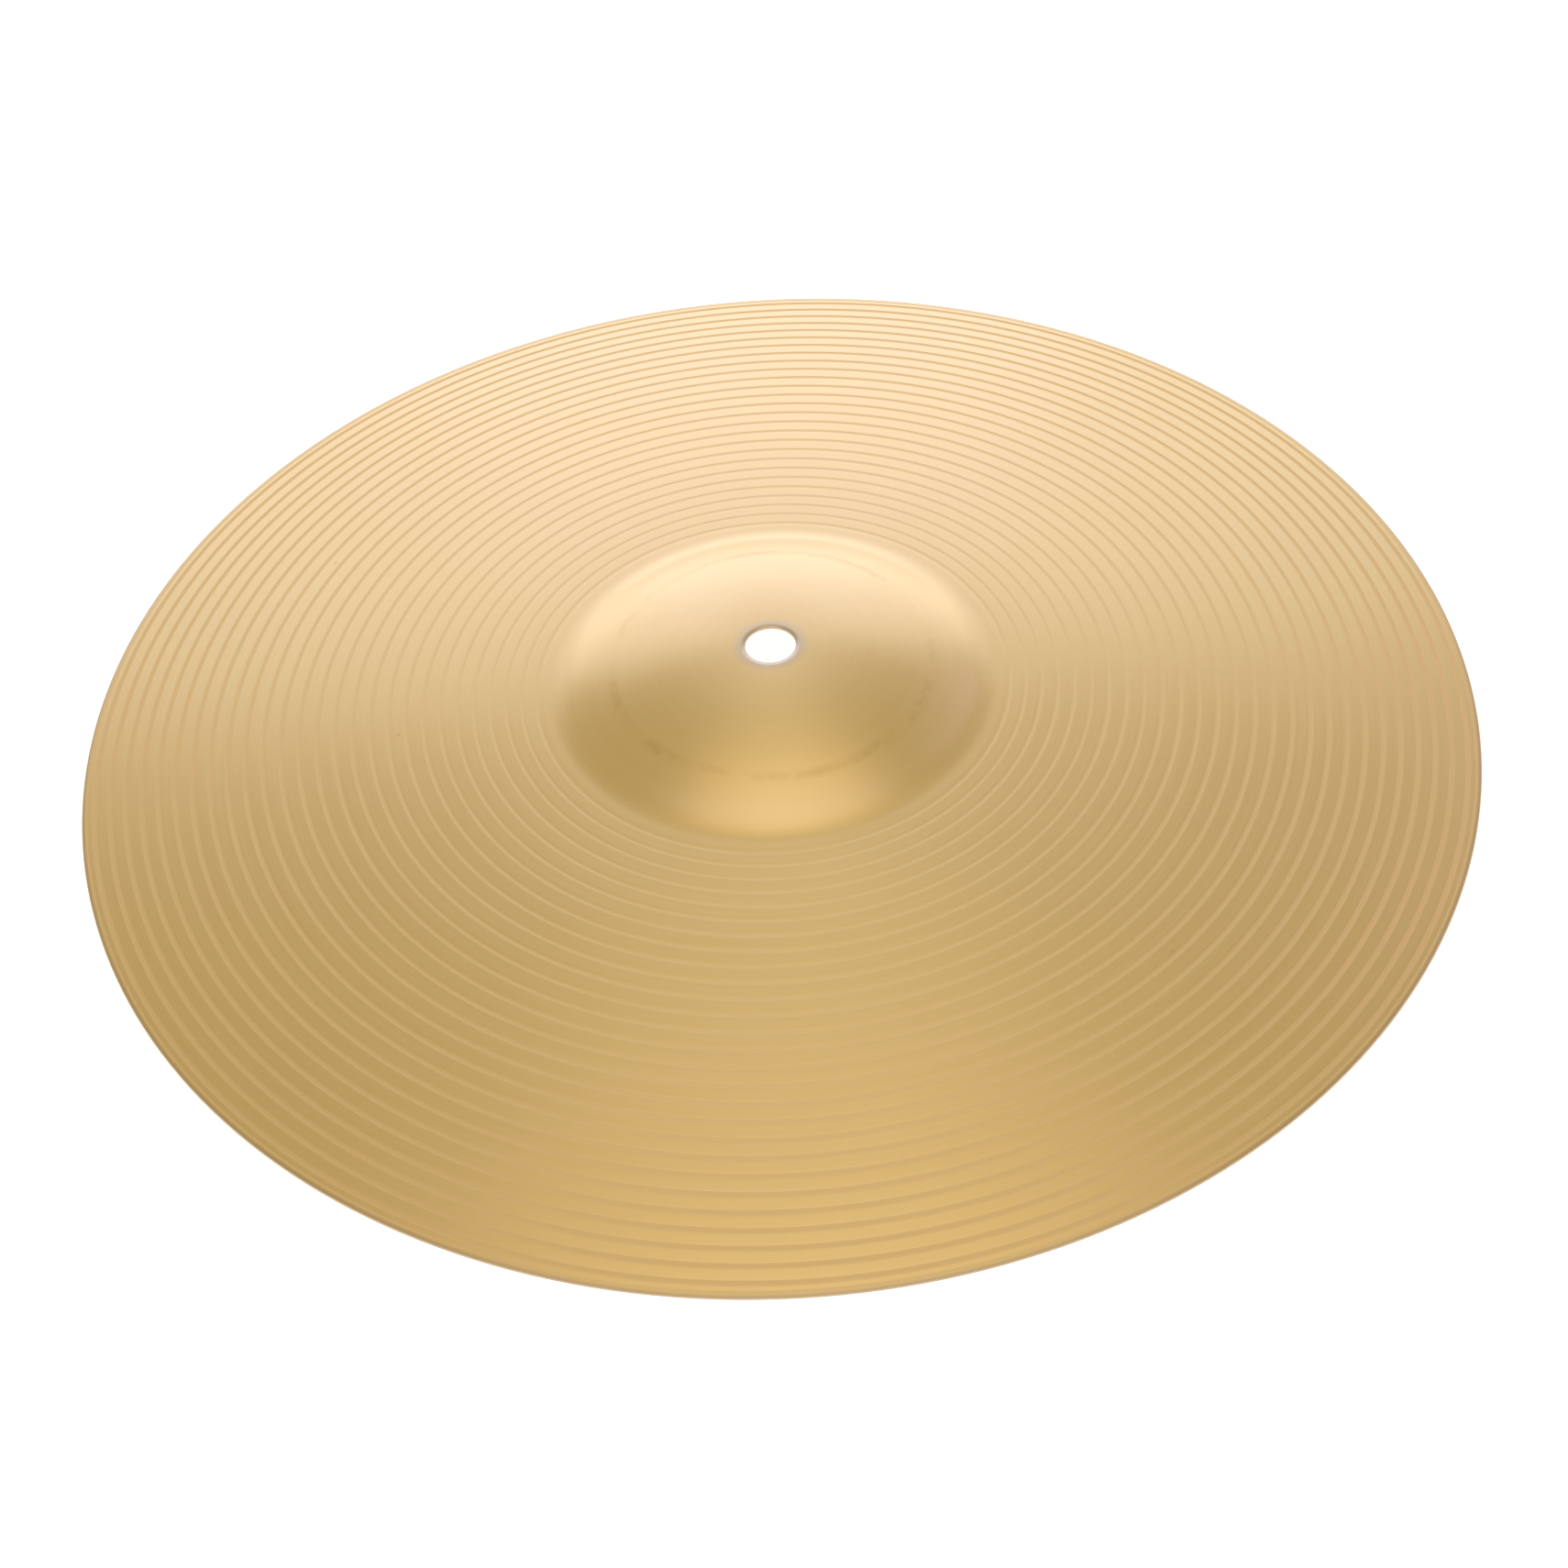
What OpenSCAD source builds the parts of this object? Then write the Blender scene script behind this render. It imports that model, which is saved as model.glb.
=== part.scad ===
// Crash cymbal: one disc of brass sheet, pressed and spun to shape, with the bell up.
// It is a solid of revolution about Z. The underside of its edge lies on Z = 0.
// Dimensions are in millimetres.

/* [Disc] */
// Outside diameter of the disc, 14 inches
disc_d = 355.6; // [340:0.1:370]
// Thickness of the sheet, measured square to its surface
sheet_t = 0.8; // [0.6:0.05:1.2]
// Width of the slope that takes the sharpness off the top of the edge
edge_break = 0.25; // [0.1:0.05:0.4]

/* [Bow] */
// Radius of the arc that the bow follows from the bell to the edge
bow_radius = 820; // [700:10:1200]

/* [Bell] */
// Diameter at the foot of the bell
bell_d = 107; // [100:1:110]
// Rise of the bell above the bow at its foot
bell_rise = 12.0; // [8:0.1:16]
// Fullness of the dome: 2 is a plain round cap, and more gives it shoulders
bell_fullness = 2.6; // [2:0.1:3.5]
// Height over which the bell runs into the bow in a soft fillet
foot_blend = 1.6; // [0.6:0.1:3]
// Diameter of the centre hole, half an inch
bore_d = 12.7; // [11:0.1:14]

/* [Tone grooves] */
// Number of turned grooves
groove_count = 27; // [10:1:28]
// Radius of the innermost groove
groove_first_r = 59.7; // [58:0.1:70]
// Radius of the outermost groove
groove_last_r = 174.4; // [165:0.1:174.4]
// How much closer the grooves crowd towards both ends of the band
groove_crowding = 3.3; // [0:0.1:5]
// How far the middle of the band is drawn in towards the bell
groove_drift = 0.7; // [0:0.1:2]
// Width of the innermost groove
groove_first_w = 1.0; // [0.8:0.1:1.6]
// Width of the outermost groove
groove_last_w = 1.4; // [0.8:0.1:1.6]
// Depth of the outermost groove; a narrower one is shallower by the square of its width
groove_depth = 0.06; // [0.06:0.01:0.15]
// Distance of the fine turned line from the edge
edge_line_in = 1.3; // [1.1:0.1:1.6]
// Width of that line
edge_line_w = 0.6; // [0.4:0.1:0.8]

/* [Hidden] */

disc_r = disc_d / 2;
bell_r = bell_d / 2;
bore_r = bore_d / 2;

// Distance between computed points on the bell, on the bow and at its fillet
bell_step = 1.2;
bow_step = 2.2;
// Points across a groove, from one lip to the other, as shares of half its width
groove_shares = [-1, -0.5, 0, 0.5, 1];

// --- Shape of the sheet, as heights over a radius ---

// The bow is an arc centred on Z, counted from its height at the edge.
function bow_z(r) = sqrt(bow_radius ^ 2 - r ^ 2) - sqrt(bow_radius ^ 2 - disc_r ^ 2);

// The bell's dome falls from its crown to the bow at the bell's foot.
function dome_z(r) = bow_z(bell_r) + bell_rise * (1 - (r / bell_r) ^ bell_fullness);

// The higher of two heights, filled in softly where they come within w of each other.
function soft_max(a, b, w) = max(a, b) + max(w - abs(a - b), 0) ^ 2 / (4 * w);

// The smooth top of the sheet, before it is grooved.
function skin_z(r) = soft_max(bow_z(r), dome_z(r), foot_blend);

// The upright thickness of a sloping sheet, so that it measures sheet_t square to its face.
function upright_t(r) =
    let (slope = (skin_z(r + 0.01) - skin_z(r - 0.01)) / 0.02)
    sheet_t * sqrt(1 + slope ^ 2);

edge_z = upright_t(disc_r);
function under_z(r) = skin_z(r) + edge_z - upright_t(r);

// --- Grooves ---

// A groove's place runs from -1 at the innermost to 1 at the outermost.
function groove_r(i) =
    let (
        place = 2 * i / (groove_count - 1) - 1,
        middle = (groove_last_r + groove_first_r) / 2,
        reach = (groove_last_r - groove_first_r) / 2
    )
    middle + reach * place
    + groove_crowding * (place - place ^ 3)
    - groove_drift * (1 - place ^ 2);

function groove_w(i) =
    groove_first_w + (groove_last_w - groove_first_w) * i / (groove_count - 1);

// Each cut is [radius, width], from the bell outwards, with the fine line by the edge last.
cuts = [
    for (i = [0 : groove_count - 1]) [groove_r(i), groove_w(i)],
    [disc_r - edge_line_in, edge_line_w]
];

// A cut is a shallow round-bottomed channel. The same round tool makes them all, so the depth of a
// cut goes by the square of its width.
function cut_depth(cut, share) = groove_depth * (cut[1] / groove_last_w) ^ 2 * (1 - share ^ 2);

// --- Section through the sheet ---

// Computed points from one radius to another, both ends left out.
function between(from, to, step) =
    let (n = ceil((to - from) / step))
    [for (k = [1 : 1 : n - 1]) from + (to - from) * k / n];

bell_radii = concat([bore_r], between(bore_r, cuts[0][0] - cuts[0][1] / 2, bell_step));

function cut_points(cut) = [
    for (share = groove_shares)
        let (r = cut[0] + share * cut[1] / 2)
        [r, skin_z(r) + edge_z - cut_depth(cut, share)]
];

// The land after a cut, up to the next cut or to the edge.
function land_points(i) =
    let (
        from = cuts[i][0] + cuts[i][1] / 2,
        to = i < len(cuts) - 1 ? cuts[i + 1][0] - cuts[i + 1][1] / 2 : disc_r - edge_break
    )
    [for (r = between(from, to, bow_step)) [r, skin_z(r) + edge_z]];

top_points = concat(
    [for (r = bell_radii) [r, skin_z(r) + edge_z]],
    [for (i = [0 : len(cuts) - 1]) each concat(cut_points(cuts[i]), land_points(i))],
    [
        [disc_r - edge_break, skin_z(disc_r - edge_break) + edge_z],
        [disc_r, edge_z - edge_break]
    ]
);

under_radii = concat(
    [disc_r],
    [for (r = between(-disc_r, -bell_radii[len(bell_radii) - 1], 2 * bow_step)) -r],
    [for (k = [len(bell_radii) - 1 : -1 : 0]) bell_radii[k]]
);
under_points = [for (r = under_radii) [r, under_z(r)]];

module cymbal() {
    color([0.80, 0.65, 0.40])
        rotate_extrude($fn = 360)
            polygon(concat(top_points, under_points));
}

cymbal();
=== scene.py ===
# %% [markdown]
# # A crash cymbal
# A cymbal is one disc of brass sheet. A press raises the bell in its middle, a lathe spins the
# bow round it, and a turning tool then cuts shallow tone grooves into the top. Nothing is joined
# on. So the model is one surface of revolution, and most of the work is in its satin finish and in
# the lights that the finish needs.
#
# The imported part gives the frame: metres, Z up, the edge resting on Z = 0.

# %% Load the frame
import bpy
import math
import numpy as np
from mathutils import Matrix, Vector


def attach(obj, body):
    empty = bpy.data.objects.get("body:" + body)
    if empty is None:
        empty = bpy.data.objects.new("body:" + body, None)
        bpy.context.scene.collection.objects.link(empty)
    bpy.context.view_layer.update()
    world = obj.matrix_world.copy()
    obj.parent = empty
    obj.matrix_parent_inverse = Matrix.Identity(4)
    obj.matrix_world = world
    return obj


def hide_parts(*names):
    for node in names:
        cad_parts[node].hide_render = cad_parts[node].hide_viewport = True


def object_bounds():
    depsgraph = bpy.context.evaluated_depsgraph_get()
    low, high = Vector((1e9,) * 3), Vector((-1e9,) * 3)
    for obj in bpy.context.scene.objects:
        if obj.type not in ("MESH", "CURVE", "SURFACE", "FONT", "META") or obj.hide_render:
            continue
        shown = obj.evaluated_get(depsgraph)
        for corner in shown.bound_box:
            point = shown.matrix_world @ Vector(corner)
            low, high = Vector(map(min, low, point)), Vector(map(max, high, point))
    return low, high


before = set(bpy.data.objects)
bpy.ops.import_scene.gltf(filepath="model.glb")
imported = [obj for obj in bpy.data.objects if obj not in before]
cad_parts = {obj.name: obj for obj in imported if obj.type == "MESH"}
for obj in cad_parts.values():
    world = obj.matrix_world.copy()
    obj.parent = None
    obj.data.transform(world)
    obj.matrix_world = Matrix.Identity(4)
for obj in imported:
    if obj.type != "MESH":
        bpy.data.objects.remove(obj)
cad_low, cad_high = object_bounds()
mm = 0.001
disc_r = (cad_high.x - cad_low.x) / 2
print(f"disc {2 * disc_r / mm:.1f} mm across and {(cad_high.z - cad_low.z) / mm:.1f} mm high")

# %% [markdown]
# ## Camera
# The cymbal is seen from the front and from about 45 degrees up, near enough for the far side to
# look smaller. The camera is placed by its distance and height round the middle of the edge, and
# its three small turns say how it was held: aimed a little low, and rolled so that the right side
# sits higher.

# %% Camera
SHEET_T = 0.8 * mm
CAMERA_DISTANCE = 5.0 * disc_r
CAMERA_ELEVATION = math.radians(44.74)
AIM_LOW = math.radians(0.92)
AIM_RIGHT = math.radians(0.05)
ROLL = math.radians(4.36)
LENS_MM, SENSOR_MM = 79.7, 36


def camera_pose(distance, elevation, down, right, roll):
    """Stands the camera at distance and elevation on the -Y side and looks at the edge's middle.
    Turning about its own axes by down, right and roll then moves the picture, not the camera."""
    away = Vector((0, -math.cos(elevation), math.sin(elevation)))
    look = away.to_track_quat("Z", "Y").to_matrix()
    aim = Matrix.Rotation(-right, 3, "Y") @ Matrix.Rotation(-down, 3, "X")
    pose = (look @ aim @ Matrix.Rotation(-roll, 3, "Z")).to_4x4()
    pose.translation = away * distance + Vector((0, 0, SHEET_T))
    return pose


camera_data = bpy.data.cameras.new("camera")
camera_data.sensor_width = SENSOR_MM
camera_data.lens = LENS_MM
camera = bpy.data.objects.new("camera", camera_data)
camera.matrix_world = camera_pose(CAMERA_DISTANCE, CAMERA_ELEVATION, AIM_LOW, AIM_RIGHT, ROLL)
bpy.context.scene.collection.objects.link(camera)
bpy.context.scene.camera = camera
bpy.context.scene.view_settings.view_transform = "Standard"
print("camera at", [round(c, 3) for c in camera.location])

# %% [markdown]
# ## Shape of the sheet
# The heights follow the CAD part. The bow is an arc of a large circle. The bell is a dome that
# falls towards its foot by a power of the radius, and a soft maximum joins the two in a fillet.

# %% Heights over a radius
BOW_RADIUS = 820 * mm
BELL_R = 53.5 * mm
BELL_RISE = 12.0 * mm
BELL_FULLNESS = 2.6
FOOT_BLEND = 1.6 * mm
BORE_R = 6.35 * mm


def bow_height(r):
    """Height of the bow above its height at the edge: an arc centred on the axis."""
    return np.sqrt(BOW_RADIUS**2 - r**2) - np.sqrt(BOW_RADIUS**2 - disc_r**2)


def dome_height(r):
    """The bell: its rise times one less the radius, as a share of the foot's, to a power."""
    return bow_height(BELL_R) + BELL_RISE * (1 - (r / BELL_R) ** BELL_FULLNESS)


def skin_height(r):
    """The higher of bow and dome, filled in by a quarter of the squared nearness between them."""
    bow, dome = bow_height(r), dome_height(r)
    near = np.maximum(FOOT_BLEND - abs(bow - dome), 0)
    return np.maximum(bow, dome) + near**2 / (4 * FOOT_BLEND)


def upright_thickness(r):
    """The sheet's thickness along Z, which grows with the slope so that it is even across."""
    step = 0.01 * mm
    slope = (skin_height(r + step) - skin_height(r - step)) / (2 * step)
    return SHEET_T * np.sqrt(1 + slope**2)


EDGE_Z = float(upright_thickness(disc_r))
print(f"top of the bell at {(float(skin_height(BORE_R)) + EDGE_Z) / mm:.2f} mm")

# %% [markdown]
# ## Tone grooves
# The tool cuts 27 rings between the bell and the edge. They lie a little closer together at both
# ends of the band, and the outer ones are wider and deeper. One finer line is turned just inside
# the edge. Each groove is real geometry, because its round bottom mirrors a whole fan of
# directions: that helps to make it darker than the metal beside it where that metal is bright, and
# brighter where it is dark.

# %% Groove radii
GROOVES = 27
GROOVE_FIRST_R, GROOVE_LAST_R = 59.7 * mm, 174.4 * mm
GROOVE_CROWDING, GROOVE_DRIFT = 3.3 * mm, 0.7 * mm
GROOVE_FIRST_W, GROOVE_LAST_W, GROOVE_DEPTH = 1.0 * mm, 1.4 * mm, 0.06 * mm
EDGE_LINE_IN, EDGE_LINE_W = 1.3 * mm, 0.6 * mm
EDGE_BREAK = 0.25 * mm

place = np.linspace(-1, 1, GROOVES)
groove_r = (
    (GROOVE_LAST_R + GROOVE_FIRST_R) / 2
    + (GROOVE_LAST_R - GROOVE_FIRST_R) / 2 * place
    + GROOVE_CROWDING * (place - place**3)
    - GROOVE_DRIFT * (1 - place**2)
)
cut_r = np.append(groove_r, disc_r - EDGE_LINE_IN)
cut_w = np.append(np.linspace(GROOVE_FIRST_W, GROOVE_LAST_W, GROOVES), EDGE_LINE_W)
print(f"groove pitch {np.diff(groove_r).min() / mm:.2f} to {np.diff(groove_r).max() / mm:.2f} mm")


def cut_depth(r):
    """How deep the cuts go at each radius: one less the squared share of the half width. One
    round tool makes every cut, so the depth in its middle goes by the square of its width."""
    share = (r[:, None] - cut_r) / (cut_w / 2)
    depth = GROOVE_DEPTH * (cut_w / GROOVE_LAST_W) ** 2 * np.maximum(1 - share**2, 0)
    return depth.max(axis=1)


# %% [markdown]
# ## The mesh
# A profile is a closed loop of points, out along the top, over the edge, back along the underside
# and down the wall of the hole. Carrying it round the axis gives a closed surface: a grid with the
# profile along u and the turn along v, with both directions wrapping.

# %% Profile of the section
CUT_SHARES = np.array([-1, -0.92, -0.5, 0, 0.5, 0.92, 1])
LAND_SHARES = np.array([0.15, 0.5, 0.85])
BELL_POINTS, UNDER_POINTS, TURN_POINTS = 46, 70, 240
EDGE_ROUND, UNDER_CORNER, TOP_CORNER = 0.08 * mm, 0.12 * mm, 0.15 * mm

cut_points = cut_r[:, None] + CUT_SHARES * cut_w[:, None] / 2
land_start = cut_r + cut_w / 2
land_end = np.append(cut_r[1:] - cut_w[1:] / 2, disc_r - EDGE_BREAK)
land_points = land_start[:, None] + LAND_SHARES * (land_end - land_start)[:, None]
bell_points = np.linspace(BORE_R + TOP_CORNER, cut_points[0, 0], BELL_POINTS, endpoint=False)
top_r = np.concatenate([bell_points, np.hstack([cut_points, land_points]).ravel()])
top_z = skin_height(top_r) + EDGE_Z - cut_depth(top_r)

under_r = np.linspace(disc_r - 0.15 * mm, BORE_R + 0.1 * mm, UNDER_POINTS)
under_z = skin_height(under_r) + EDGE_Z - upright_thickness(under_r)

# The edge and the hole's wall: a few points each, which round their corners.
edge_r = disc_r - np.array([EDGE_BREAK, EDGE_ROUND, 0, 0])
edge_z = np.array([
    skin_height(edge_r[0]) + EDGE_Z, EDGE_Z - EDGE_ROUND, EDGE_Z - 0.3 * mm, UNDER_CORNER
])
bore_top = float(skin_height(BORE_R)) + EDGE_Z
bore_r = np.array([BORE_R, BORE_R])
bore_z = np.array([bore_top - SHEET_T + UNDER_CORNER, bore_top - TOP_CORNER])

profile_r = np.concatenate([top_r, edge_r, under_r, bore_r])
profile_z = np.concatenate([top_z, edge_z, under_z, bore_z])
print(f"{len(profile_r)} points in the profile")


# %% Carry the profile round
def turned_surface(name, r, z, turns):
    """The profile r, z turned about Z: x is r times the cosine of the turn, y r times its sine.
    Face corners run so that the outside of a loop that goes out along the top faces outwards."""
    angle = np.linspace(0, 2 * np.pi, turns, endpoint=False)
    points = np.stack([
        np.outer(np.cos(angle), r), np.outer(np.sin(angle), r), np.broadcast_to(z, (turns, len(r)))
    ], axis=2)
    u, v = np.meshgrid(np.arange(len(r)), np.arange(turns))
    u2, v2 = (u + 1) % len(r), (v + 1) % turns
    quads = np.stack([v * len(r) + u, v * len(r) + u2, v2 * len(r) + u2, v2 * len(r) + u], axis=2)
    mesh = bpy.data.meshes.new(name)
    mesh.from_pydata(points.reshape(-1, 3), [], quads.reshape(-1, 4).tolist())
    mesh.shade_smooth()
    piece = bpy.data.objects.new(name, mesh)
    bpy.context.scene.collection.objects.link(piece)
    return piece


sheet = turned_surface("cymbal_sheet", profile_r, profile_z, TURN_POINTS)
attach(sheet, "root")
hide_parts("cymbal")
print(f"{2 * len(sheet.data.polygons)} triangles in {sheet.name}")

# %% [markdown]
# ## How much each point is cut
# The turning tool leaves the floor of a groove rougher than the brushed metal beside it. The
# grooves are also painted a little lighter than the metal beside them, as painted light that
# stands in for the light they catch. The finish has to know where the grooves are, so each point
# of the mesh keeps
# a number: 0 on the lands between them, and in a groove up to 1, rising from the innermost groove
# to the outermost.

# %% Store the cut on the mesh
CUT_STRENGTH_FIRST, CUT_STRENGTH_EDGE_LINE = 0.25, 0.8
LEAST_CUT = 0.001 * mm
groove_strength = np.linspace(CUT_STRENGTH_FIRST, 1, GROOVES)
strength = np.interp(top_r, cut_r, np.append(groove_strength, CUT_STRENGTH_EDGE_LINE))
cut_share = np.zeros(len(profile_r))
cut_share[: len(top_r)] = strength * (cut_depth(top_r) > LEAST_CUT)
cut_attribute = sheet.data.attributes.new("cut", "FLOAT", "POINT")
cut_attribute.data.foreach_set("value", np.tile(cut_share, TURN_POINTS))
print(f"{(cut_share > 0).sum()} of {len(cut_share)} profile points lie in a cut")

# %% [markdown]
# ## Brass
# Brushing in circles leaves scratches that run round the axis. They scatter light far outwards and
# inwards but hardly sideways, and that is what draws the bright and dark sectors. The shader does
# this with anisotropy, and a radial tangent tells it which way the scratches run. On top of that
# lie the marks of the work: fine lathe lines, a slow change of tone, a broken brown ring on the
# bell where the press held it, and a few specks. The last millimetre of the edge is coloured
# darker and browner, and a grey halo round the hole is painted shade.


# %% Finish of the brass
def turned_brass(name, colour, roughness, anisotropy, marks):
    """Brass turned on a lathe. The tone, the roughness and the height each vary with noise that
    is stretched round the axis, and marks is how strongly stains and specks show."""
    material = bpy.data.materials.new(name)
    material.use_nodes = True
    nodes, links = material.node_tree.nodes, material.node_tree.links
    nodes.clear()

    frame_place = nodes.new("NodeFrame")
    frame_place.label = "Where on the disc"
    frame_lines = nodes.new("NodeFrame")
    frame_lines.label = "Lathe lines"
    frame_stain = nodes.new("NodeFrame")
    frame_stain.label = "Stains and specks"
    frame_tone = nodes.new("NodeFrame")
    frame_tone.label = "Tone of the metal"
    frame_surface = nodes.new("NodeFrame")
    frame_surface.label = "Surface"

    place = nodes.new("ShaderNodeTexCoord")
    place.label = "Metres from the axis and the edge's plane"
    place.location = (-2200, 0)
    split = nodes.new("ShaderNodeSeparateXYZ")
    split.label = "Split the place"
    split.location = (-2000, 0)
    flat = nodes.new("ShaderNodeCombineXYZ")
    flat.label = "Place seen from above"
    flat.location = (-1800, 0)
    radius = nodes.new("ShaderNodeVectorMath")
    radius.label = "Distance from the axis"
    radius.location = (-1600, 0)
    cut = nodes.new("ShaderNodeAttribute")
    cut.label = "Share of a full cut"
    cut.location = (-1600, -300)
    tangent = nodes.new("ShaderNodeTangent")
    tangent.label = "Which way the brushing runs"
    tangent.location = (-300, -700)

    ring_place = nodes.new("ShaderNodeCombineXYZ")
    ring_place.label = "Fast across the lines, slow along them"
    ring_place.location = (-1350, 500)
    slow_x = nodes.new("ShaderNodeMath")
    slow_x.label = "Slow along X"
    slow_x.location = (-1600, 500)
    slow_y = nodes.new("ShaderNodeMath")
    slow_y.label = "Slow along Y"
    slow_y.location = (-1600, 300)
    fine = nodes.new("ShaderNodeTexNoise")
    fine.label = "Fine brushing"
    fine.location = (-1100, 650)
    coarse = nodes.new("ShaderNodeTexNoise")
    coarse.label = "Passes of the tool"
    coarse.location = (-1100, 350)
    lines = nodes.new("ShaderNodeMix")
    lines.label = "Brushing over passes"
    lines.location = (-850, 500)

    drift = nodes.new("ShaderNodeTexNoise")
    drift.label = "Slow change over the disc"
    drift.location = (-1100, 50)
    stain_path = nodes.new("ShaderNodeMath")
    stain_path.label = "Distance from the ring's radius"
    stain_path.location = (-1350, -250)
    stain_near = nodes.new("ShaderNodeMath")
    stain_near.label = "Either side of it"
    stain_near.location = (-1150, -250)
    stain_band = nodes.new("ShaderNodeMapRange")
    stain_band.label = "Narrow ring"
    stain_band.location = (-950, -250)
    stain_wander = nodes.new("ShaderNodeTexNoise")
    stain_wander.label = "How the ring wanders"
    stain_wander.location = (-1550, -500)
    stain_shift = nodes.new("ShaderNodeMapRange")
    stain_shift.label = "Radius of the ring here"
    stain_shift.location = (-1350, -500)
    stain_blots = nodes.new("ShaderNodeTexNoise")
    stain_blots.label = "Blots along the ring"
    stain_blots.location = (-1150, -500)
    stain_patch = nodes.new("ShaderNodeMapRange")
    stain_patch.label = "Only in places"
    stain_patch.location = (-950, -500)
    stain = nodes.new("ShaderNodeMath")
    stain.label = "Ring in places"
    stain.location = (-750, -350)
    speck_cells = nodes.new("ShaderNodeTexVoronoi")
    speck_cells.label = "Scattered points"
    speck_cells.location = (-1150, -800)
    specks = nodes.new("ShaderNodeMapRange")
    specks.label = "Small specks"
    specks.location = (-950, -800)
    marks_sum = nodes.new("ShaderNodeMath")
    marks_sum.label = "Stain and specks"
    marks_sum.location = (-550, -450)
    marks_share = nodes.new("ShaderNodeMath")
    marks_share.label = "How strongly they show"
    marks_share.location = (-400, -450)

    tone = nodes.new("ShaderNodeMix")
    tone.label = "Lighter and deeper brass"
    tone.location = (-500, 150)
    lined = nodes.new("ShaderNodeMix")
    lined.label = "Tone of the lines"
    lined.location = (-300, 150)
    # Painted light: the grooves are coloured a little lighter than the brass beside them.
    painted_groove_light = nodes.new("ShaderNodeMix")
    painted_groove_light.label = "Painted light in the grooves"
    painted_groove_light.location = (-300, 400)
    stained = nodes.new("ShaderNodeMix")
    stained.label = "Brown where marked"
    stained.location = (-100, 300)
    # The last millimetre of the edge is coloured darker and browner.
    edge_share = nodes.new("ShaderNodeMapRange")
    edge_share.label = "Last millimetre"
    edge_share.location = (-100, 600)
    edged = nodes.new("ShaderNodeMix")
    edged.label = "Darker browner edge band"
    edged.location = (100, 400)
    # Painted shade: the brass is greyed in a halo round the hole.
    rim_share = nodes.new("ShaderNodeMapRange")
    rim_share.label = "Close round the hole"
    rim_share.location = (100, 700)
    painted_hole_shade = nodes.new("ShaderNodeMix")
    painted_hole_shade.label = "Painted shade round the hole"
    painted_hole_shade.location = (300, 500)

    line_rough = nodes.new("ShaderNodeMapRange")
    line_rough.label = "Roughness of the lines"
    line_rough.location = (-500, -50)
    cut_rough = nodes.new("ShaderNodeMath")
    cut_rough.label = "Rougher in the grooves"
    cut_rough.location = (-300, -100)
    bump = nodes.new("ShaderNodeBump")
    bump.label = "Height of the lines"
    bump.location = (-300, -350)
    shader = nodes.new("ShaderNodeBsdfPrincipled")
    shader.label = "Brushed brass"
    shader.location = (500, 0)
    output = nodes.new("ShaderNodeOutputMaterial")
    output.location = (800, 0)

    for node in (place, split, flat, radius, cut):
        node.parent = frame_place
    for node in (ring_place, slow_x, slow_y, fine, coarse, lines):
        node.parent = frame_lines
    for node in (stain_wander, stain_shift, stain_path, stain_near, stain_band, stain_blots,
                 stain_patch, stain, speck_cells, specks, marks_sum, marks_share):
        node.parent = frame_stain
    for node in (drift, tone, lined, painted_groove_light, stained, edge_share, edged, rim_share, painted_hole_shade):
        node.parent = frame_tone
    for node in (line_rough, cut_rough, bump, tangent, shader, output):
        node.parent = frame_surface

    radius.operation = "LENGTH"
    cut.attribute_name = "cut"
    tangent.direction_type = "RADIAL"
    tangent.axis = "Z"
    slow_x.operation = slow_y.operation = "MULTIPLY"
    slow_x.inputs[1].default_value = slow_y.inputs[1].default_value = 0.01
    fine.inputs["Scale"].default_value = 2600
    fine.inputs["Detail"].default_value = 2
    coarse.inputs["Scale"].default_value = 420
    coarse.inputs["Detail"].default_value = 1
    lines.inputs["Factor"].default_value = 0.35
    drift.inputs["Scale"].default_value = 14
    drift.inputs["Detail"].default_value = 9
    drift.inputs["Roughness"].default_value = 0.7
    stain_path.operation = "SUBTRACT"
    stain_wander.inputs["Scale"].default_value = 30
    stain_wander.inputs["Detail"].default_value = 1
    stain_shift.inputs["To Min"].default_value = STAIN_R - STAIN_WANDER
    stain_shift.inputs["To Max"].default_value = STAIN_R + STAIN_WANDER
    stain_near.operation = "ABSOLUTE"
    stain_band.inputs["From Min"].default_value = 1.7 * mm
    stain_band.inputs["From Max"].default_value = 0.3 * mm
    stain_blots.inputs["Scale"].default_value = 38
    stain_blots.inputs["Detail"].default_value = 10
    stain_blots.inputs["Roughness"].default_value = 0.8
    stain_patch.inputs["From Min"].default_value = 0.46
    stain_patch.inputs["From Max"].default_value = 0.62
    stain.operation = "MULTIPLY"
    speck_cells.inputs["Scale"].default_value = 40
    specks.inputs["From Min"].default_value = 0.028
    specks.inputs["From Max"].default_value = 0.012
    marks_sum.operation = "MAXIMUM"
    marks_share.operation = "MULTIPLY"
    marks_share.inputs[1].default_value = marks

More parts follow.
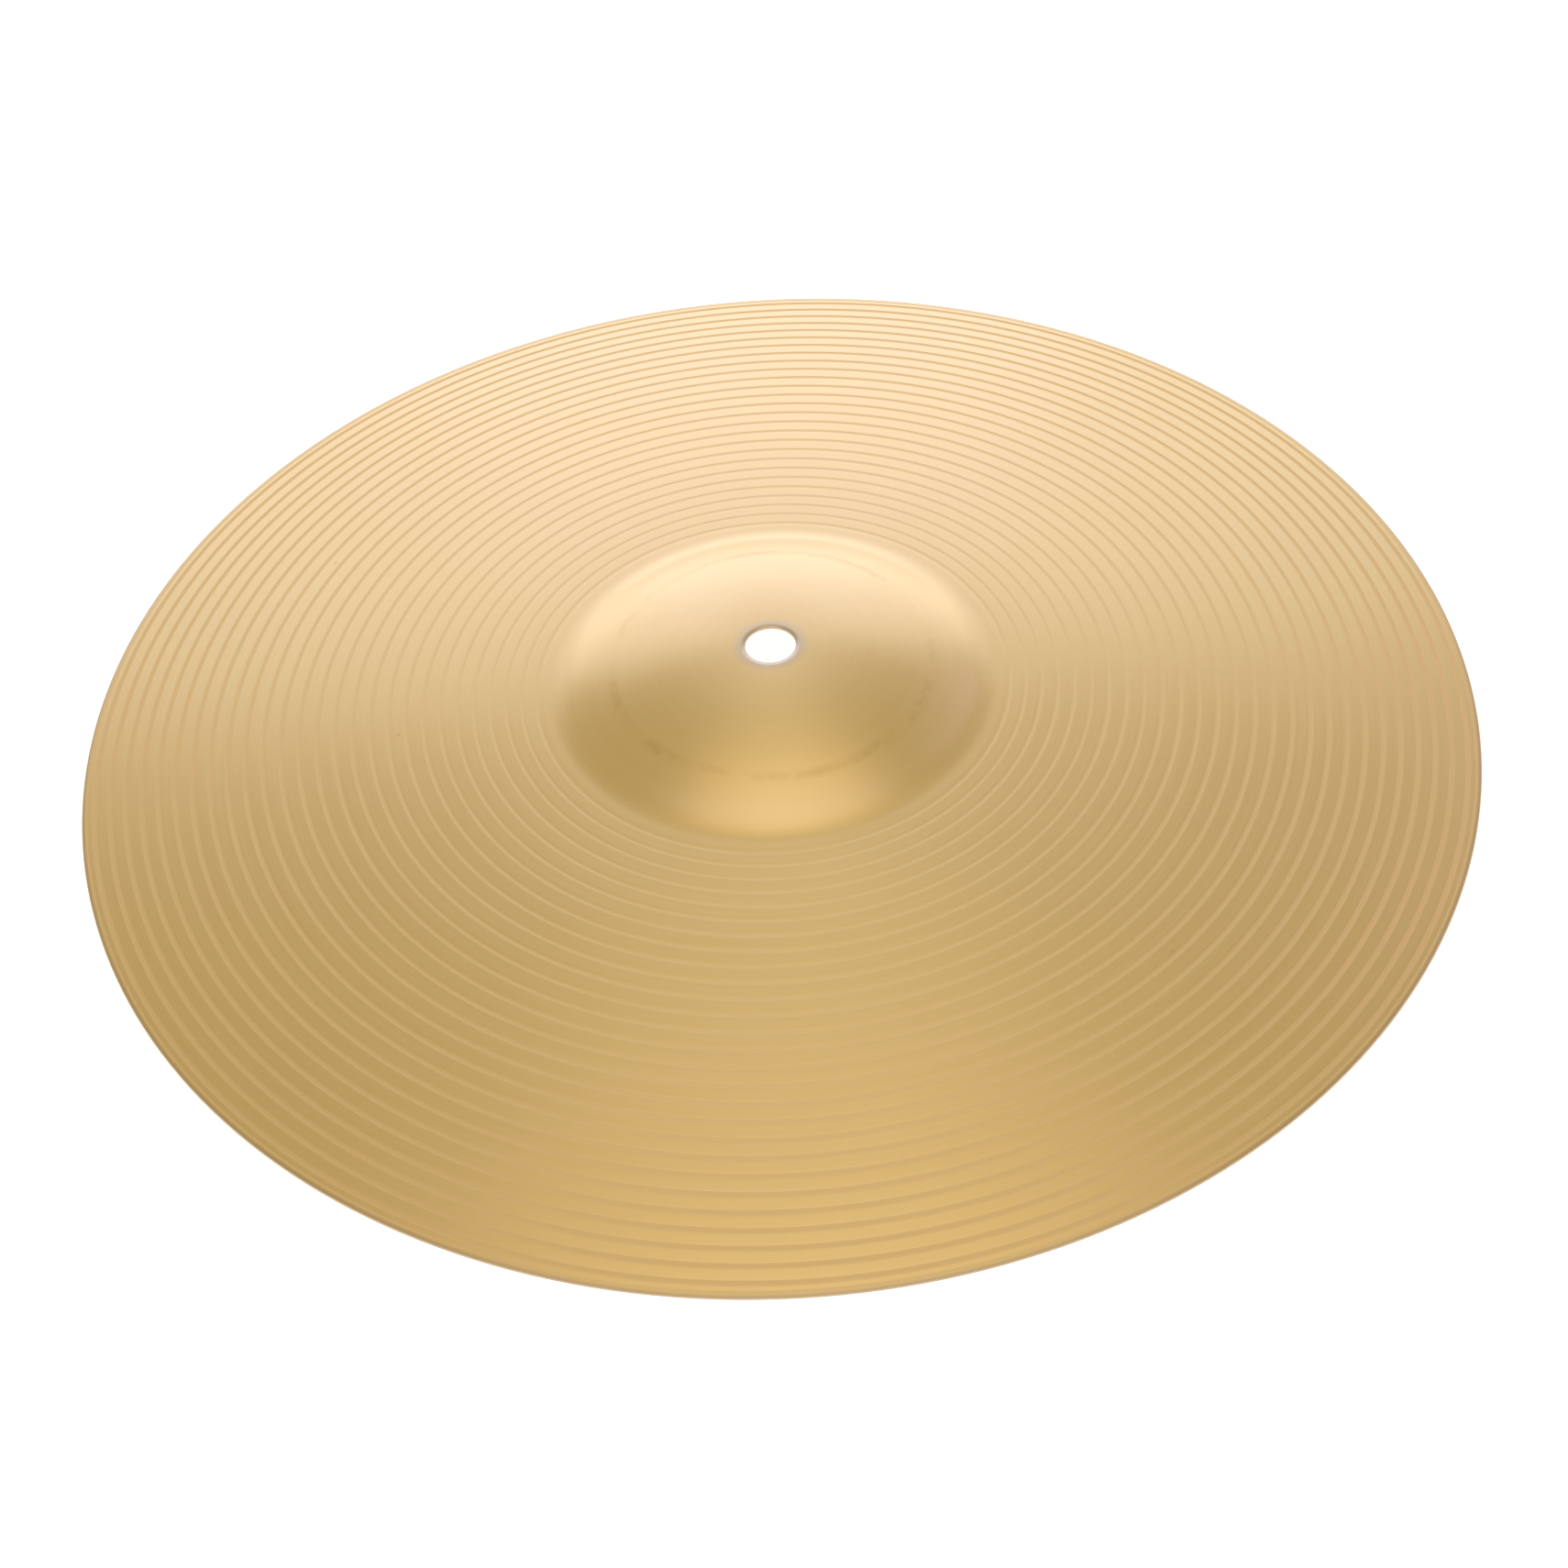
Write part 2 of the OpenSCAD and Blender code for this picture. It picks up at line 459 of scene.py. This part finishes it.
    tone.data_type = lined.data_type = painted_groove_light.data_type = "RGBA"
    stained.data_type = edged.data_type = painted_hole_shade.data_type = "RGBA"
    tone.inputs["A"].default_value = (*[0.97 * c for c in colour], 1)
    tone.inputs["B"].default_value = (*[1.03 * c for c in colour], 1)
    lined.blend_type = "SOFT_LIGHT"
    lined.inputs["Factor"].default_value = 0.15
    # Painted light: a groove's colour is the brass made a little lighter.
    painted_groove_light.inputs["B"].default_value = (*[GROOVE_PAINTED_LIGHT * c for c in colour], 1)
    stained.inputs["B"].default_value = (0.50, 0.29, 0.08, 1)
    edge_share.inputs["From Min"].default_value = disc_r - 1.1 * mm
    edge_share.inputs["From Max"].default_value = disc_r - 0.2 * mm
    edge_share.inputs["To Max"].default_value = 0.75
    edged.inputs["B"].default_value = (0.53, 0.39, 0.25, 1)
    # Painted shade: the grey halo fades in over the last 3.5 mm before the hole.
    rim_share.inputs["From Min"].default_value = BORE_R + 3.5 * mm
    rim_share.inputs["From Max"].default_value = BORE_R
    rim_share.inputs["To Max"].default_value = 0.8
    painted_hole_shade.inputs["B"].default_value = (0.60, 0.53, 0.45, 1)
    line_rough.inputs["To Min"].default_value = roughness - 0.03
    line_rough.inputs["To Max"].default_value = roughness + 0.03
    cut_rough.operation = "MULTIPLY_ADD"
    cut_rough.inputs[1].default_value = GROOVE_ROUGHER
    bump.inputs["Strength"].default_value = 0.15
    bump.inputs["Distance"].default_value = 0.02 * mm
    shader.inputs["Metallic"].default_value = 1
    shader.inputs["Anisotropic"].default_value = anisotropy
    shader.inputs["Anisotropic Rotation"].default_value = 0.25

    links.new(place.outputs["Object"], split.inputs["Vector"])
    links.new(split.outputs["X"], flat.inputs["X"])
    links.new(split.outputs["Y"], flat.inputs["Y"])
    links.new(flat.outputs["Vector"], radius.inputs[0])
    links.new(split.outputs["X"], slow_x.inputs[0])
    links.new(split.outputs["Y"], slow_y.inputs[0])
    links.new(radius.outputs["Value"], ring_place.inputs["X"])
    links.new(slow_x.outputs["Value"], ring_place.inputs["Y"])
    links.new(slow_y.outputs["Value"], ring_place.inputs["Z"])
    links.new(ring_place.outputs["Vector"], fine.inputs["Vector"])
    links.new(ring_place.outputs["Vector"], coarse.inputs["Vector"])
    links.new(fine.outputs["Fac"], lines.inputs["A"])
    links.new(coarse.outputs["Fac"], lines.inputs["B"])
    links.new(flat.outputs["Vector"], drift.inputs["Vector"])
    links.new(place.outputs["Object"], stain_wander.inputs["Vector"])
    links.new(stain_wander.outputs["Fac"], stain_shift.inputs["Value"])
    links.new(radius.outputs["Value"], stain_path.inputs[0])
    links.new(stain_shift.outputs["Result"], stain_path.inputs[1])
    links.new(stain_path.outputs["Value"], stain_near.inputs[0])
    links.new(stain_near.outputs["Value"], stain_band.inputs["Value"])
    links.new(place.outputs["Object"], stain_blots.inputs["Vector"])
    links.new(stain_blots.outputs["Fac"], stain_patch.inputs["Value"])
    links.new(stain_band.outputs["Result"], stain.inputs[0])
    links.new(stain_patch.outputs["Result"], stain.inputs[1])
    links.new(place.outputs["Object"], speck_cells.inputs["Vector"])
    links.new(speck_cells.outputs["Distance"], specks.inputs["Value"])
    links.new(stain.outputs["Value"], marks_sum.inputs[0])
    links.new(specks.outputs["Result"], marks_sum.inputs[1])
    links.new(marks_sum.outputs["Value"], marks_share.inputs[0])
    links.new(drift.outputs["Fac"], tone.inputs["Factor"])
    links.new(tone.outputs["Result"], lined.inputs["A"])
    links.new(lines.outputs["Result"], lined.inputs["B"])
    links.new(cut.outputs["Fac"], painted_groove_light.inputs["Factor"])
    links.new(lined.outputs["Result"], painted_groove_light.inputs["A"])
    links.new(painted_groove_light.outputs["Result"], stained.inputs["A"])
    links.new(marks_share.outputs["Value"], stained.inputs["Factor"])
    links.new(lines.outputs["Result"], line_rough.inputs["Value"])
    links.new(cut.outputs["Fac"], cut_rough.inputs[0])
    links.new(line_rough.outputs["Result"], cut_rough.inputs[2])
    links.new(lines.outputs["Result"], bump.inputs["Height"])
    links.new(radius.outputs["Value"], edge_share.inputs["Value"])
    links.new(edge_share.outputs["Result"], edged.inputs["Factor"])
    links.new(stained.outputs["Result"], edged.inputs["A"])
    links.new(radius.outputs["Value"], rim_share.inputs["Value"])
    links.new(rim_share.outputs["Result"], painted_hole_shade.inputs["Factor"])
    links.new(edged.outputs["Result"], painted_hole_shade.inputs["A"])
    links.new(painted_hole_shade.outputs["Result"], shader.inputs["Base Color"])
    links.new(cut_rough.outputs["Value"], shader.inputs["Roughness"])
    links.new(bump.outputs["Normal"], shader.inputs["Normal"])
    links.new(tangent.outputs["Tangent"], shader.inputs["Tangent"])
    links.new(shader.outputs["BSDF"], output.inputs["Surface"])
    return material


STAIN_R, STAIN_WANDER = 40.5 * mm, 1.2 * mm
GROOVE_ROUGHER, GROOVE_PAINTED_LIGHT = 0.28, 1.03
BRASS = (0.85, 0.62, 0.30)
sheet.data.materials.append(turned_brass("lathed_brass", BRASS, 0.34, 0.60, 0.3))
print("finish:", [m.name for m in sheet.data.materials])

# %% [markdown]
# ## Floor
# The cymbal lies on a light table: a pale floor that glows a little. It shows white through the
# centre hole and throws no hard shadow under the edge.

# %% Floor
FLOOR_HALF = 6.0
FLOOR_GREY, FLOOR_GLOW = 0.4, 0.9
floor_mesh = bpy.data.meshes.new("floor")
floor_mesh.from_pydata(
    [(sx * FLOOR_HALF, sy * FLOOR_HALF, 0) for sx, sy in ((-1, -1), (1, -1), (1, 1), (-1, 1))],
    [],
    [(0, 1, 2, 3)],
)
floor = bpy.data.objects.new("floor", floor_mesh)
bpy.context.scene.collection.objects.link(floor)

pale = bpy.data.materials.new("pale_floor")
pale.use_nodes = True
pale_shader = pale.node_tree.nodes["Principled BSDF"]
pale_shader.label = "Glowing white sheet"
pale_shader.inputs["Base Color"].default_value = (FLOOR_GREY, FLOOR_GREY, FLOOR_GREY, 1)
pale_shader.inputs["Roughness"].default_value = 1
pale_shader.inputs["Emission Color"].default_value = (1, 1, 1, 1)
pale_shader.inputs["Emission Strength"].default_value = FLOOR_GLOW
floor_mesh.materials.append(pale)
print(f"floor {2 * FLOOR_HALF:.0f} m across, glowing at {FLOOR_GLOW}")

# %% [markdown]
# ## Light
# Brushed metal is mostly a picture of the room, so each light is placed for what it draws on the
# disc. The room itself is a warm grey that gives the dark sectors their tone. Below it a white
# horizon keeps the floor pale, and a dim strip over the middle of the roof keeps the front sector
# from going dark. Three softboxes behind the cymbal, one in front of another, draw the bright back
# sector with a soft rise to its middle. One at the right lifts the right side of the bell, the
# ceiling panel in front and the small warm one overhead draw the bright front of the bell and the
# golden front sector.

# %% Room
HORIZON_WHITE, ROOM_GREY = (0.95, 0.95, 0.95, 1), (0.52, 0.46, 0.30, 1)
ROOF_STRIP = (0.12, 0.14, 0.16)
HORIZON_TOP, ROOM_FROM = math.radians(11), math.radians(16)
STRIP_EDGE, STRIP_CORE = 0.30, 0.05

world = bpy.data.worlds.new("studio")
bpy.context.scene.world = world
world.use_nodes = True
nodes, links = world.node_tree.nodes, world.node_tree.links
nodes.clear()

direction = nodes.new("ShaderNodeTexCoord")
direction.label = "Direction looked in"
direction.location = (-900, 0)
parts = nodes.new("ShaderNodeSeparateXYZ")
parts.label = "Split the direction"
parts.location = (-700, 0)
sky_shade = nodes.new("ShaderNodeValToRGB")
sky_shade.label = "White horizon, grey room"
sky_shade.location = (-400, 250)
sideways = nodes.new("ShaderNodeMath")
sideways.label = "How far sideways"
sideways.location = (-550, -250)
roof_strip = nodes.new("ShaderNodeMapRange")
roof_strip.label = "Strip down the middle"
roof_strip.location = (-400, -250)
roof_light = nodes.new("ShaderNodeVectorMath")
roof_light.label = "Glow of the strip"
roof_light.location = (-200, -250)
room_light = nodes.new("ShaderNodeVectorMath")
room_light.label = "Room and strip"
room_light.location = (0, 100)
glow = nodes.new("ShaderNodeBackground")
glow.label = "Glow"
glow.location = (300, 0)
sky = nodes.new("ShaderNodeOutputWorld")
sky.location = (500, 0)

sky_shade.color_ramp.elements[0].position = math.sin(HORIZON_TOP)
sky_shade.color_ramp.elements[0].color = HORIZON_WHITE
sky_shade.color_ramp.elements[1].position = math.sin(ROOM_FROM)
sky_shade.color_ramp.elements[1].color = ROOM_GREY
sideways.operation = "ABSOLUTE"
roof_strip.interpolation_type = "SMOOTHSTEP"
roof_strip.inputs["From Min"].default_value = STRIP_EDGE
roof_strip.inputs["From Max"].default_value = STRIP_CORE
roof_light.operation = "MULTIPLY"
roof_light.inputs[1].default_value = ROOF_STRIP
room_light.operation = "ADD"

links.new(direction.outputs["Generated"], parts.inputs["Vector"])
links.new(parts.outputs["Z"], sky_shade.inputs["Fac"])
links.new(parts.outputs["X"], sideways.inputs[0])
links.new(sideways.outputs["Value"], roof_strip.inputs["Value"])
links.new(roof_strip.outputs["Result"], roof_light.inputs[0])
links.new(sky_shade.outputs["Color"], room_light.inputs[0])
links.new(roof_light.outputs["Vector"], room_light.inputs[1])
links.new(room_light.outputs["Vector"], glow.inputs["Color"])
links.new(glow.outputs["Background"], sky.inputs["Surface"])
print(f"{len(nodes)} nodes light the room")


# %% Softboxes
def softbox(name, centre, aim, width, height, colour):
    """A flat light that faces aim. Its colour is the brightness of its face, so its power is that
    times pi times its area."""
    data = bpy.data.lights.new(name, "AREA")
    data.shape = "RECTANGLE"
    data.size, data.size_y = width, height
    brightness = max(colour)
    data.color = [c / brightness for c in colour]
    data.energy = brightness * math.pi * width * height
    box = bpy.data.objects.new(name, data)
    box.matrix_world = (Vector(centre) - Vector(aim)).to_track_quat("Z", "Y").to_matrix().to_4x4()
    box.location = centre
    box.visible_camera = False
    bpy.context.scene.collection.objects.link(box)
    return box


softbox("back_wide", (0, 1.5, 0.68), (0, 0, 0.68), 2.4, 1.36, (0.375, 0.44, 0.71))
softbox("back_middle", (0, 1.45, 0.63), (0, 0, 0.63), 1.55, 1.25, (0.17, 0.195, 0.28))
softbox("back_core", (0, 1.4, 0.61), (0, 0, 0.61), 0.75, 1.2, (0.14, 0.15, 0.43))
softbox("right_side", (1.5, 0.6, 0.7), (0, 0.6, 0.7), 1.8, 1.3, (0.18, 0.18, 0.50))
softbox("ceiling_front", (0, -0.8, 1.5), (0, -0.8, 0), 2.6, 1.2, (0.36, 0.40, 0.60))
softbox("overhead", (0, -0.06, 1.0), (0, -0.06, 0), 0.8, 0.5, (0.33, 0.26, 0.14))
print("softboxes:", [light.name for light in bpy.data.lights])
